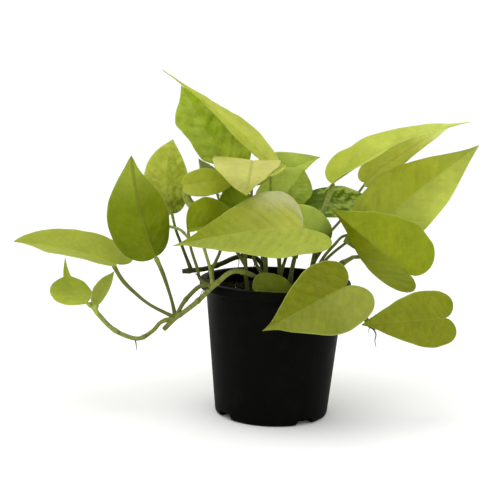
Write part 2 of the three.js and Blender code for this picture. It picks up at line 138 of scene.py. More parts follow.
# Sizes are in mm. Streaks are how many there are to a vein, and streakDrift how fast they change outwards.
leafSkin = dict(
    vein="#c3cb6a", veinShare=0.07, rib="#cdd57c", ribShare=0.07, edge="#c2cc70", edgeShare=0.4,
    patch="#c6cc60",
    cloudSize=16, puckerSize=4.5, cellSize=0.9, hueSize=9, patchSize=5, streaks=2.6, streakDrift=0.08,
    bump=0.4, bumpDepth=0.9, veinHeight=0.25, glow=0.12, glowDepth=0.8,
    roughness=0.4, undersideRoughness=0.55, shine=0.1, undersideShine=0.06,
)


# Living leaf with a waxy skin: soft shine, faint pale veins, uneven green and light that passes through it.
def leafMaterial(name, under):
    material, tree, shader = newMaterial(name)
    place = objectPlace(tree)
    clouds = noiseAt(tree, place, leafSkin["cloudSize"], 3.0, 0.55)
    pucker = noiseAt(tree, place, leafSkin["puckerSize"], 2.0)
    cells = noiseAt(tree, place, leafSkin["cellSize"], 2.0)

    phase = plus(tree, attribute(tree, "veinPhase"), ranged(tree, pucker, 0.3, 0.7, -0.07, 0.07))
    fromVein = addNode(tree, "ShaderNodeMath", {"operation": "PINGPONG", 1: 0.5}, {0: phase})
    vein = ranged(tree, fromVein, 0.0, 0.11, 1.0, 0.0, "SMOOTHSTEP")
    vein = times(tree, vein, ranged(tree, attribute(tree, "part"), 0.35, 0.92, 1.0, 0.0))
    vein = times(tree, vein, ranged(tree, clouds, 0.38, 0.62, 0.1, 1.0))
    rib = ranged(tree, attribute(tree, "fromRib"), 0.1, 0.8, 1.0, 0.0, "SMOOTHSTEP")
    rim = ranged(tree, attribute(tree, "part"), 0.965, 1.0, 0.0, leafSkin["edgeShare"])

    brightness = ranged(tree, clouds, 0.3, 0.7, 0.91, 1.09)
    for noises in (cells, pucker):
        brightness = times(tree, brightness, ranged(tree, noises, 0.3, 0.7, 0.95, 1.05))
    # Streaks that follow the veins lighten and darken the colour: painted light and shade of wrinkling, which
    # also feed the bump.
    across = times(tree, attribute(tree, "veinPhase"), leafSkin["streaks"])
    outwards = times(tree, attribute(tree, "fromRib"), leafSkin["streakDrift"])
    grain = addNode(tree, "ShaderNodeCombineXYZ", {}, {"X": across, "Y": outwards})
    settings = {"Scale": 1.0, "Detail": 3.0, "Roughness": 0.6}
    wrinkleShadeAndBump = addNode(tree, "ShaderNodeTexNoise", settings, {"Vector": grain})
    wrinkleShadeAndBump = times(tree, ranged(tree, wrinkleShadeAndBump, 0.3, 0.7, -1.0, 1.0), attribute(tree, "wrinkleShading"))
    brightness = plus(tree, brightness, wrinkleShadeAndBump)
    hue = ranged(tree, noiseAt(tree, place, leafSkin["hueSize"], 2.0), 0.3, 0.7, 0.496, 0.505)
    node = tree.nodes.new("ShaderNodeHueSaturation")
    tree.links.new(attribute(tree, "tint", "Color"), node.inputs["Color"])
    tree.links.new(brightness, node.inputs["Value"])
    tree.links.new(hue, node.inputs["Hue"])
    patches = ranged(tree, noiseAt(tree, place, leafSkin["patchSize"], 4.0, 0.6), 0.42, 0.7, 0.0, 1.0)
    patches = times(tree, patches, attribute(tree, "mottle"))
    colour = node.outputs[0]
    veinShare, ribShare = times(tree, vein, leafSkin["veinShare"]), times(tree, rib, leafSkin["ribShare"])
    for share, key in ((patches, "patch"), (veinShare, "vein"), (ribShare, "rib"), (rim, "edge")):
        colour = mixColour(tree, share, colour, linear(leafSkin[key]))
    tree.links.new(colour, shader.inputs["Base Color"])

    height = plus(tree, times(tree, cells, 0.12), times(tree, pucker, 0.7))
    height = plus(tree, height, times(tree, wrinkleShadeAndBump, 4.0))
    height = plus(tree, height, times(tree, vein, leafSkin["veinHeight"] * (1 if under else -1)))
    addBump(tree, shader, height, leafSkin["bump"], leafSkin["bumpDepth"])
    rough = leafSkin["undersideRoughness"] if under else leafSkin["roughness"]
    tree.links.new(ranged(tree, clouds, 0.3, 0.7, rough - 0.05, rough + 0.07), shader.inputs["Roughness"])
    shader.inputs["Specular IOR Level"].default_value = leafSkin["undersideShine" if under else "shine"]
    shader.inputs["Subsurface Weight"].default_value = leafSkin["glow"]
    shader.inputs["Subsurface Radius"].default_value = (0.8, 1.0, 0.1)
    shader.inputs["Subsurface Scale"].default_value = leafSkin["glowDepth"] * mm
    return material


leafUpper = leafMaterial("waxy leaf, upper side", False)
leafUnder = leafMaterial("waxy leaf, underside", True)

stemSkin = dict(spot="#3f3d16", spotSize=2.5, streakSize=0.8, bump=0.45, bumpDepth=0.3, roughness=0.5,
                shine=0.12)  # sizes in mm


# Soft green stem: satin, with fine streaks and brownish spots.
def stemMaterial():
    material, tree, shader = newMaterial("herbaceous stem")
    place = objectPlace(tree)
    spots = noiseAt(tree, place, stemSkin["spotSize"], 4.0, 0.6)
    streaks = noiseAt(tree, place, stemSkin["streakSize"], 2.0)
    tint = attribute(tree, "tint", "Color")
    tint = mixColour(tree, ranged(tree, spots, 0.5, 0.72, 0.0, 0.6), tint, linear(stemSkin["spot"]))
    node = tree.nodes.new("ShaderNodeHueSaturation")
    tree.links.new(tint, node.inputs["Color"])
    tree.links.new(ranged(tree, streaks, 0.3, 0.7, 0.85, 1.15), node.inputs["Value"])
    tree.links.new(node.outputs[0], shader.inputs["Base Color"])
    relief = plus(tree, spots, times(tree, streaks, 0.4))
    addBump(tree, shader, relief, stemSkin["bump"], stemSkin["bumpDepth"])
    shader.inputs["Roughness"].default_value = stemSkin["roughness"]
    shader.inputs["Specular IOR Level"].default_value = stemSkin["shine"]
    return material


stemBark = stemMaterial()
print("leaf and stem materials made")

# ---- the plant ----

# Each vine is a stem that stands in the soil, with its leaf stalks and blades, in mm and degrees. A stalk
# leaves the route at the point numbered start, or at the point given there, and meets its blade at base.
# Pairs are for the left and the right half of a blade, seen from its upper side with the tip up.
vines = [
    dict(name="vine_trailing", bark="green", radius=2.1,
         route=[(-8, -29, 99), (-10, -31, 108), (-16, -36, 115.5), (-24, -43.5, 120.3),
             (-33, -51, 122.3), (-38, -53, 119.8), (-43, -52, 115), (-48, -50, 110),
             (-55, -46, 102), (-62, -39, 94), (-70, -31, 86), (-77, -27, 80), (-86, -24, 70)],
         spurs=[
             dict(radius=1.1, points=[(-69, -15, 141), (-76, -6, 146), (-85, 4, 147)]),
             dict(radius=1.7,
                  points=[(-77, -27, 80), (-88, -25, 76), (-95, -23, 68), (-106, -20, 61),
                      (-119, -20, 64), (-128, -22, 70), (-138, -24, 81)]),
         ],
         shoots=[dict(start=7, end=11, radius=1.8, via=[(-57, -43, 109), (-66, -36, 100), (-72, -30, 91)])],
         leaves=[
             dict(name="leaf_left_tall", slot="leaf_olive", start=11,
                  via=[(-80, -23, 91), (-84, -19, 102), (-89, -15, 114)], base=(-95, -12, 125.5),
                  tip=(-113, -30, 205), face=(-0.3, 1, 0.2), width=(47, 57), fold=(22, 22), arch=1,
                  sway=3, lobes=(0.02, 0.04), widest=(0.38, 0.32), full=(0.3, 0.5), drip=0.06),
             dict(name="leaf_left_far", slot="leaf_neon", start=11,
                  via=[(-98, -18, 88), (-110, -10, 95), (-121, -4, 104)], base=(-129, 0, 117),
                  tip=(-205, -15, 134), face=(0, -0.25, 1), width=(54, 52), fold=(11, 20), arch=4,
                  lobes=(0.05, 0.2), widest=(0.5, 0.1), full=(0.4, 0.8)),
             dict(name="leaf_left_cupped", slot="leaf_neon", start=(-138, -24, 81), stalk=1.5,
                  via=[(-141, -24, 85), (-143, -23, 87)], base=(-146, -26, 89),
                  tip=(-170, 18, 118), face=(0.1, -0.5, 1), width=(38, 24), fold=(0, 5), arch=-4,
                  sway=-4, lobes=(0, 0.02), widest=(0.3, 0.25), full=0.9, taper=(0.85, 0.8),
                  drip=0.35),
             dict(name="leaf_left_unrolling", slot="leaf_neon", start=(-138, -24, 81), stalk=1.5,
                  via=[(-139, -27, 85)], base=(-138, -32, 90), tip=(-125, -27, 115),
                  face=(0.5, -0.8, 0), width=(20, 7), fold=(15, 15), lobes=0.05, widest=0.4,
                  full=0.6),
             dict(name="leaf_small_left_lower", slot="leaf_olive", start=7,
                  via=[(-58, -38, 113), (-61, -29, 120), (-67, -17, 134)], base=(-70, -13, 147),
                  tip=(-25, 10, 153), face=(0, -0.9, 0.4), width=(46, 24), fold=(8, 60), arch=2,
                  lobes=0, widest=0.35, full=0.4),
             dict(name="leaf_small_left_upper", slot="leaf_olive", start=7,
                  via=[(-51, -38, 122), (-56, -20, 133), (-62, 3, 149), (-67, 8, 162), (-72, 10, 169)],
                  base=(-75, 9, 179), tip=(-32, 21, 183), face=(0, -0.8, 0.5), width=(24, 26),
                  fold=(8, 8), arch=3, lobes=0.05, widest=0.35, full=0.5),
             dict(name="leaf_top_puckered", slot="leaf_green", start=7,
                  via=[(-49, -38, 121), (-47, -24, 125), (-44, -8, 132), (-43, 26, 160)],
                  base=(-40, 46, 190), tip=(-82, 58, 257), face=(-0.2, -1, 0.4), width=(40, 54),
                  fold=(12, 12), arch=4, lobes=(-0.1, 0.1), widest=(0.52, 0.3), full=(0.45, 0.3)),
         ]),
    dict(name="vine_cut_end", bark="old", radius=2.2,
         route=[(-6, 25, 99), (-7.5, 24, 108), (-14, 22.5, 119.5), (-24, 21, 122.5),
             (-33, 19, 121), (-43, 14, 117), (-55, 7, 113.7), (-67, 2, 112.5), (-74, 0, 112)],
         leaves=[
             dict(name="leaf_left_behind", slot="leaf_neon", start=7, stalk=1.4,
                  via=[(-71, 6, 121), (-76, 11, 132), (-81, 16, 143)], base=(-85, 20, 156),
                  tip=(-86, 35, 214), face=(-0.2, -1, 0.3), width=(37, 38), fold=(10, 14), arch=3,
                  sway=-4, lobes=0.04, widest=0.4, full=0.65),
         ]),
    dict(name="vine_centre_left", bark="green", radius=1.7,
         route=[(-22, -4, 99), (-23, -4, 107), (-24, -2, 119), (-25, 2, 130)],
         leaves=[
             dict(name="leaf_inner_shaded", slot="leaf_dark", start=3,
                  via=[(-31, 14, 143), (-32, 21, 152)], base=(-31, 16, 158), tip=(-42, 24, 182),
                  face=(0, -1, 0.3), width=30, fold=(10, 10), arch=2),
             dict(name="leaf_torn_tip", slot="leaf_green", start=2,
                  via=[(-40, 18, 140), (-49, 58, 166)], base=(-54, 54, 180), tip=(-66, 52, 198),
                  face=(0, -1, 0.3), width=16, fold=(15, 15)),
         ]),
    dict(name="vine_centre", bark="green", radius=1.9,
         route=[(-8, -2, 99), (-8, -1, 107), (-8, 1, 119), (-9, 4, 131), (-9, 8, 142)],
         leaves=[
             dict(name="leaf_top_slender", slot="leaf_bright", start=3,
                  via=[(-7, 22, 157), (-6, 25, 180)], base=(-5, 22, 198), tip=(-95, 32, 269),
                  face=(0.45, -0.6, 0.66), width=(19, 29), fold=(2, 2), arch=4, lobes=0.05,
                  full=(0.1, 0.2), taper=(0.75, 0.8), drip=0.22),
             dict(name="leaf_pale_young", slot="leaf_pale", start=1,
                  via=[(-18, 2, 125), (-21, 8, 153), (-21, 10, 182)], base=(-21, 8, 201),
                  tip=(-25, -42, 178.5), face=(0, -0.25, 1), width=(45, 63), fold=(2, 3), arch=2,
                  lobes=(0.04, 0.1), widest=0, full=0.75, taper=0.6),
             dict(name="leaf_rolled_young", slot="leaf_pale", start=4, stalk=1.2,
                  via=[(-2, 17, 160), (-6, 18, 180)], base=(-7, 15, 189.5), tip=(5.5, 12, 197.5),
                  face=(0, -0.7, 0.7), width=(9, 10), fold=(35, 20), lobes=0.05, widest=0.45,
                  full=0.7),
         ]),
    dict(name="vine_front_centre", bark="green", radius=1.9,
         route=[(10, -16, 99), (11, -16, 106), (12, -16, 117), (14, -15, 128)],
         leaves=[
             dict(name="leaf_front_centre", slot="leaf_neon", start=3, stalk=1.9,
                  via=[(18, -14, 142)], base=(19, -25, 153), tip=(-79, -50, 140),
                  face=(0, -0.8, 0.6), width=(60, 64), fold=(16, 16), curl=(0, -14), arch=6,
                  lobes=(0.21, 0.02), widest=(0.22, 0.15), full=(0.16, 0.05)),
         ]),
    dict(name="vine_centre_right", bark="green", radius=1.9,
         route=[(4, 18, 99), (4, 20, 107), (3, 23, 119), (1, 26, 131)],
         leaves=[
             dict(name="leaf_back_pointed", slot="leaf_green", start=3, via=[(-6, 40, 155)],
                  base=(-13, 50, 178), tip=(35, 54, 202), face=(-0.1, -0.8, 0.5), width=(41, 36),
                  fold=(10, 10), arch=3, full=(0.3, 0.05)),
             dict(name="leaf_back_round", slot="leaf_green", start=2, via=[(4, 33, 146)],
                  base=(1, 32, 165), tip=(21, 37, 193), face=(0.1, -1, 0.3), width=(32, 36),
                  fold=(8, 8), lobes=0.08, widest=0.45, full=0.9),
             dict(name="leaf_marbled_green", slot="leaf_dark", start=1,
                  via=[(14, 34, 138), (20, 48, 152)], base=(22, 52, 161), tip=(81, 52, 167),
                  face=(0, -0.8, 0.6), width=(28, 32), fold=(6, 6), arch=4, lobes=0.04, widest=0.4,
                  full=0.6),
         ]),
    dict(name="vine_right", bark="green", radius=1.8,
         route=[(27, 4, 99), (28, 5, 107), (29, 7, 118), (31, 10, 129)],
         leaves=[
             dict(name="leaf_right_upper", slot="leaf_bright", start=3, stalk=1.8,
                  via=[(34, 20, 150), (39, 18, 168)], base=(44, 20, 184), tip=(150, 20, 236),
                  face=(-0.42, -0.35, 0.9), width=(46, 50), fold=(27, 25), arch=8,
                  lobes=(0.03, 0.1), widest=(0.15, 0.22)),
             dict(name="leaf_right_upper_behind", slot="leaf_neon", start=2,
                  via=[(40, 40, 135), (56, 66, 150), (67, 66, 169)], base=(73, 50, 183),
                  tip=(147, 60, 233), face=(-0.3, -0.6, 0.7), width=(36, 25), fold=(10, 10),
                  arch=4, lobes=0.05),
             dict(name="leaf_right_long", slot="leaf_neon", start=1,
                  via=[(42, 16, 124), (64, 28, 140)], base=(82, 24, 153), tip=(160, 24, 218),
                  face=(-0.2, -1, 0.3), width=(56, 60), fold=(14, 14), arch=4, full=(0.16, 0.3)),
             dict(name="leaf_right_tucked", slot="leaf_olive", start=1,
                  via=[(38, 2, 127), (46, 6, 136), (54, 16, 142), (70, 22, 143)],
                  base=(79, 14, 143), tip=(53, 6, 139), face=(0, -0.9, 0.4), width=26, fold=(6, 6),
                  full=0.6),
             dict(name="leaf_shaded_right", slot="leaf_green", start=2,
                  via=[(32, 9, 124), (35, 8, 129)], base=(38, 0, 136), tip=(4, 12, 165),
                  face=(0, -0.9, 0.4), width=(34, 34), fold=(10, 10), arch=2, lobes=0.02,
                  widest=0.35, full=0.8),
         ]),
    dict(name="vine_front_right", bark="green", radius=2.2,
         route=[(16, -33, 99), (19, -35, 106), (26, -39, 115), (36, -43, 118), (46, -45, 114),
             (56, -44, 104), (64, -43, 93), (74, -42, 81)],
         leaves=[
             dict(name="leaf_front_right", slot="leaf_neon", start=2,
                  via=[(36, -47, 122), (46, -47, 119)], base=(51, -50, 113), tip=(-10, -76, 83),
                  face=(0.1, -0.9, 0.4), width=(66, 52), fold=(16, 16), lobes=(0.22, 0.12),
                  full=(0.16, 0.08)),
             dict(name="leaf_right_low", slot="leaf_neon", start=7,
                  via=[(92, -36, 78), (113, -22, 78), (128, -16, 81)], base=(133, -20, 85),
                  tip=(65, -50, 84), face=(0, -1, 0.3), width=46, fold=(14, 14), lobes=0.12,
                  full=(0.16, 0.4)),
             dict(name="leaf_in_pot", slot="leaf_green", start=1, via=[(0, -42, 104)],
                  base=(-17, -47, 107), tip=(13, -47, 107), face=(0, -0.95, 0.25), width=(28, 14),
                  fold=(4, 4), lobes=0.05, full=(0.95, 0.5), taper=0.9),
         ]),
    dict(name="vine_right_low", bark="green", radius=2.2,
         route=[(32, -18, 99), (35, -21, 106), (41, -25, 117), (50, -28, 127)],
         leaves=[
             dict(name="leaf_right_hanging", slot="leaf_olive", start=3, stalk=2,
                  via=[(58, -10, 128), (62, 4, 127), (74, 13, 126), (89, 13, 124), (99, 3, 119)],
                  base=(105, -10, 117), tip=(38, -30, 171), face=(-0.2, -0.95, -0.25),
                  width=(59, 68), fold=(-28, -28), lobes=(0.2, 0.14), widest=(0.12, 0.22),
                  full=(0, 0.16)),
         ]),
    dict(name="vine_back", bark="green", radius=2.2,
         route=[(-8, 38, 99), (-9, 40, 107), (-10, 43, 119), (-11, 46, 131)],
         leaves=[
             dict(name="leaf_rear_left", slot="leaf_neon", start=3, via=[(-20, 56, 148)],
                  base=(-28, 70, 154), tip=(-46, 124, 148), face=(0.25, 0.1, 1), width=40,
                  fold=(10, 10), arch=6),
             dict(name="leaf_rear_right", slot="leaf_neon", start=2, via=[(2, 56, 142)],
                  base=(10, 70, 154), tip=(22, 128, 148), face=(-0.25, 0.1, 1), width=40,
                  fold=(10, 10), arch=6),
             dict(name="leaf_rear_low", slot="leaf_olive", start=1, via=[(-10, 56, 122)],
                  base=(-12, 70, 132), tip=(-8, 124, 118), face=(0, 0.3, 1), width=42,
                  fold=(10, 10), arch=6),
         ]),
]

blade = dict(thickness=0.6, lobeShare=0.42, lobes=0.18, widest=0.22, full=0.16, taper=0.78, ribFoot=0.1,
             tipRows=0.8, tipHalf=0.12, grid=(90, 44), smallGrid=(60, 32), small=60, veinSlant=0.62,
             veinCurve=0.012)
stalk = dict(rootRadius=1.4, endRadius=1.0)
stem = dict(rootDepth=20, nodeSpacing=24)
bark = dict(young="#767d36", old="#363e16", ring="#45401f", cut="#6a7030", knee="#98a64a", fresh="#8a964a",
            root="#2e2a1a")

# How each blade looks. Colour, tip and foot are one colour, or one for each half. Where halves, tip and foot
# differ, the difference is mostly painted light and shade, not the leaf's own colour. Rim is a painted sheen
# along one margin, and ribCreaseShade is painted shade along the midrib's fold. Veins is how many there are
# to a side. Quilt, ribDepth, wave and lumps are relief in mm, ragged is how uneven the outline is, and a bite
# is (half, place along, reach, depth) in shares of the blade, where a depth below zero bulges. Mottle is how
# strong the yellow patches are, wrinkleShading how strong the streaks of painted light and shade are, which
# also bump the surface, and creaseShade how much painted shade darkens the grooves over the side veins, or
# paler below zero. Shape changes the outline. The stalk's colour is stalkTint, or goes from young to old by
# stalkShade, partly older skin and partly painted shade, and stalkFull is its radius in mm below the blade.
plainLook = dict(colour="#98a943", tip=None, foot=None, footReach=0.45, rim=None, rimSide=0,
                 rimReach=(0.35, 0.7), ribCreaseShade=None, veins=8, quilt=0.12, ribDepth=0.3, wave=0.6, waves=2.3,
                 shift=0.0, lumps=0.8, lumpSize=15, ragged=0.012, bites=(), marble=None, wrinkleShading=0.035,
                 mottle=0.06, creaseShade=0.05, stalkShade=0.12, stalkTint=None, stalkFull=0, shape={})
looks = {
    # Painted shade: darker towards the foot and along the midrib's fold.
    "leaf_left_tall": dict(colour=("#6e7d08", "#6f7f09"), tip="#98a638", foot=("#5a6802", "#647204"),
                           ribCreaseShade="#5c6a02", ribDepth=0.2, creaseShade=0.05, stalkShade=0.4, stalkFull=1.7),
    "leaf_left_far": dict(colour="#96a030", wave=0.3, stalkShade=0.3, stalkFull=1.7),
    "leaf_left_cupped": dict(colour="#aebb40", wave=0.2, creaseShade=0.03, stalkFull=2.1, stalkTint="#a8b548",
                             shape=dict(lobes=(-0.04, -0.04), tipHalf=0.2)),
    "leaf_left_unrolling": dict(colour="#8d9838", wave=0.2, stalkFull=2, stalkTint="#a2af46"),
    "leaf_small_left_lower": dict(colour="#768400", stalkShade=0.5),
    "leaf_small_left_upper": dict(colour="#929c22", foot="#98a02a", wave=0.3, ribDepth=0.1,
                                  stalkFull=3.4, stalkTint="#9aa44c"),
    "leaf_top_puckered": dict(colour=("#93a72c", "#88a012"), foot=(None, "#acbc30"), quilt=0.7, lumps=2.2,
                              lumpSize=10, ragged=0.03, wrinkleShading=0.08, mottle=0.25, creaseShade=0.13, stalkFull=1.7,
                              bites=((0, 0.45, 0.12, 0.13), (0, 0.7, 0.1, -0.06), (0, 0.2, 0.09, -0.12))),
    "leaf_left_behind": dict(colour=("#a4ae36", "#8c9820"), foot="#626e00", wrinkleShading=0.07, mottle=0.45,
                             creaseShade=0.12, quilt=0.35, lumps=1.2, lumpSize=9, stalkShade=0.8),
    "leaf_inner_shaded": dict(colour="#7a8e00"),
    "leaf_torn_tip": dict(colour="#a0aa74", ragged=0.1),
    # Painted shade: its lower half is painted darker than its upper half.
    "leaf_top_slender": dict(colour=("#9aa52c", "#abb244"), lumps=1.2, lumpSize=10, mottle=0.2, wrinkleShading=0.04,
                             stalkTint="#93a03c"),
    # Painted shade: darker towards the tip, where it meets the shadow at the front leaf's edge, and along the
    # midrib's fold.
    "leaf_pale_young": dict(colour=("#b6b45e", "#b4b55c"), tip="#90923a", ribCreaseShade="#8a8c3a", wrinkleShading=0.03,
                            mottle=0.15, shape=dict(lobes=(0, 0.06), full=(0.5, 0.78))),
    "leaf_rolled_young": dict(colour=("#b4bc4a", "#c8d062"), wave=0, quilt=0, lumps=0.1, stalkTint="#93a03c"),
    # Painted light and shade: the upper half darker than the lower, both lighter towards the foot, and the
    # rim a painted sheen on the upper lobe's margin.
    "leaf_front_centre": dict(colour=("#8a9430", "#7d881a"), foot=("#98a33a", "#a2a642"), footReach=0.8,
                              rim="#afb07a", rimSide=1, rimReach=(0.14, 0.42), quilt=0.8, veins=11,
                              wrinkleShading=0.07, creaseShade=0.22),
    # Painted shade at the foot, which lies behind the front leaf, and a painted highlight towards the tip.
    "leaf_shaded_right": dict(colour="#a0b244", foot="#3e5000", tip="#a8b64a", stalkShade=0.5),
    "leaf_back_pointed": dict(colour="#9dae42"),
    "leaf_back_round": dict(colour=("#aabc4a", "#86982e"), mottle=0.25),
    "leaf_marbled_green": dict(colour="#4f6a00", marble="#b0be5a", wrinkleShading=0.05),
    "leaf_right_upper": dict(colour=("#b0bb46", "#aab642"), tip="#c4ce66", foot="#a3af36", shift=0.3,
                             wave=0.8, stalkFull=2.1, stalkTint="#a2ad58",
                             bites=((0, 0.22, 0.07, 0.12), (1, 0.22, 0.07, 0.12))),
    "leaf_right_upper_behind": dict(colour="#999f2c", tip="#d2dc74"),
    # Painted light and shade: the upper half darker than the lower.
    "leaf_right_long": dict(colour=("#a2ab26", "#b1bb4a"), tip=("#8f9a38", "#99a33c"), foot=("#b8c240", None),
                            quilt=0.35, wrinkleShading=0.05, creaseShade=0.16),
    "leaf_right_tucked": dict(colour="#65761a"),
    # Painted light: the lower half lighter to make up for the shade it lies in, and the upper half lighter
    # towards its foot; both darker towards the tip.
    "leaf_right_hanging": dict(colour=("#7a8500", "#838f0c"), foot=("#98a31c", None),
                               tip=("#6a7500", "#768206"), footReach=0.7, quilt=0.6, wrinkleShading=0.05,
                               creaseShade=0.14, stalkShade=0),
    # Painted light and shade of its folded blade: the upper half darker than the lower, which is lighter
    # towards the foot.
    "leaf_front_right": dict(colour=("#757c20", "#6d7408"), foot=("#848b30", None), quilt=0.6, wrinkleShading=0.05,
                             creaseShade=0.16, bites=((0, 0.86, 0.06, 0.12),)),
    "leaf_right_low": dict(colour=("#72790c", "#78810e"), quilt=0.6, wrinkleShading=0.05, creaseShade=-0.14),
    "leaf_in_pot": dict(colour="#5a6600"),
}

# Small dry roots and sheath ends at the nodes: tapering threads, as (radius, points) in mm.
aerialRoots = dict(
    vine_front_right=[(0.65, [(74, -44, 81), (77, -44, 76), (76.5, -44, 71), (77.5, -45, 66)]),
                      (0.35, [(73, -44, 82), (71, -46, 79), (71, -47, 77)])],
    vine_trailing=[(0.6, [(-109, -20, 61), (-108, -20, 57), (-107.5, -20.5, 52)]),
                   (0.4, [(-52, -49, 109), (-55.5, -46, 106), (-57.5, -46, 102), (-58.5, -46, 98)]),
                   (0.35, [(-50, -51, 109), (-54, -50, 107.5), (-55.5, -50, 104)]),
                   (1.3, [(-49, -47, 112), (-54, -42, 114), (-58.5, -37, 115), (-62, -34, 116.5)]),
                   (0.9, [(-48, -46, 112), (-51, -42, 117), (-52, -40, 121)])],
    vine_cut_end=[(0.45, [(-30, 21, 121.6), (-29.5, 21, 117), (-30, 21, 112), (-29, 21, 108)]),
                  (0.6, [(-18, 22, 121), (-17, 21, 116), (-18.5, 20, 111)])],
)


def sided(value, side):
    return value[side] if isinstance(value, (tuple, list)) else value


def bezier(points, t):
    a, b, c, d = points
    s = 1 - t
    return [s ** 3 * a[i] + 3 * s * s * t * b[i] + 3 * s * t * t * c[i] + t ** 3 * d[i] for i in (0, 1)]


# One side of a blade's outline, as shares of its length and of its half width: round the lobe to the widest
# place, then forward to the tip.
def outlineAt(leaf, side, share):
    lobes, widest, full, taper = (sided(leaf.get(key, blade[key]), side)
                                  for key in ("lobes", "widest", "full", "taper"))
    if share < blade["lobeShare"]:
        lobe = [(0, 0), (-1.1 * lobes, 0.08), (-1.6 * lobes, 0.95), (widest, 1)]
        return bezier(lobe, share / blade["lobeShare"])
    part = (share - blade["lobeShare"]) / (1 - blade["lobeShare"])
    drip = leaf.get("drip", 0)
    rows = blade["tipRows"] if drip else 1
    end, half = 1 - drip, leaf.get("tipHalf", blade["tipHalf"]) if drip else 0
    if part > rows:
        beyond = (part - rows) / (1 - rows)
        return [end + drip * beyond, half * (1 - beyond)]
    return bezier([(widest, 1), (widest + 0.28 * end, 1), (taper * end, full), (end, half)], part / rows)


# Where a row of the blade crosses its midrib.
def ribAt(leaf, share):
    foot = blade["ribFoot"]
    if share < blade["lobeShare"]:
        return foot * (share / blade["lobeShare"]) ** 2
    part = (share - blade["lobeShare"]) / (1 - blade["lobeShare"])
    drip = leaf.get("drip", 0)
    rows = blade["tipRows"] if drip else 1
    if part > rows:
        return 1 - drip * (1 - part) / (1 - rows)
    return foot + (1 - drip - foot) * part / rows


def bladeAxes(leaf):
    base = Vector(leaf["base"])
    along = Vector(leaf["tip"]) - base
    length = along.length
    along.normalize()
    face = Vector(leaf["face"])
    face = (face - along * face.dot(along)).normalized()
    return base, length, along, face, along.cross(face)


# A point of the blade in mm: along is a share of its length, half is mm to the right of its midrib, and
# relief is mm out of its face.
def bladePoint(leaf, axes, along, half, relief):
    base, length, forward, face, right = axes
    arch, sway = leaf.get("arch", 0), leaf.get("sway", 0)
    side = 0 if half < 0 else 1
    bow = 4 * along if along < 0 else 4 * along * (1 - along)
    bowSlope = 4 - 8 * max(along, 0)
    tangent = (forward * length + face * arch * bowSlope + right * sway * bowSlope).normalized()
    up = (face - tangent * face.dot(tangent)).normalized()
    out = tangent.cross(up)
    start = math.radians(sided(leaf["fold"], side))
    bend = math.radians(sided(leaf.get("curl", 0), side) or 0.01) / (sided(leaf["width"], side) / 2)
    end = start + bend * abs(half)
    sideways = math.copysign((math.sin(end) - math.sin(start)) / bend, half)
    raised = (math.cos(start) - math.cos(end)) / bend
    normal = up * math.cos(end) - out * math.copysign(math.sin(end), half)
    return (base + forward * along * length + face * arch * bow + right * sway * bow
            + out * sideways + up * raised + normal * relief)


def smoothStep(value, low, high):
    t = min(max((value - low) / (high - low), 0), 1)
    return t * t * (3 - 2 * t)


def optional(hexColour):
    return linear(hexColour) if hexColour else None


def lookOf(leaf):
    return {**plainLook, **looks.get(leaf["name"], {})}


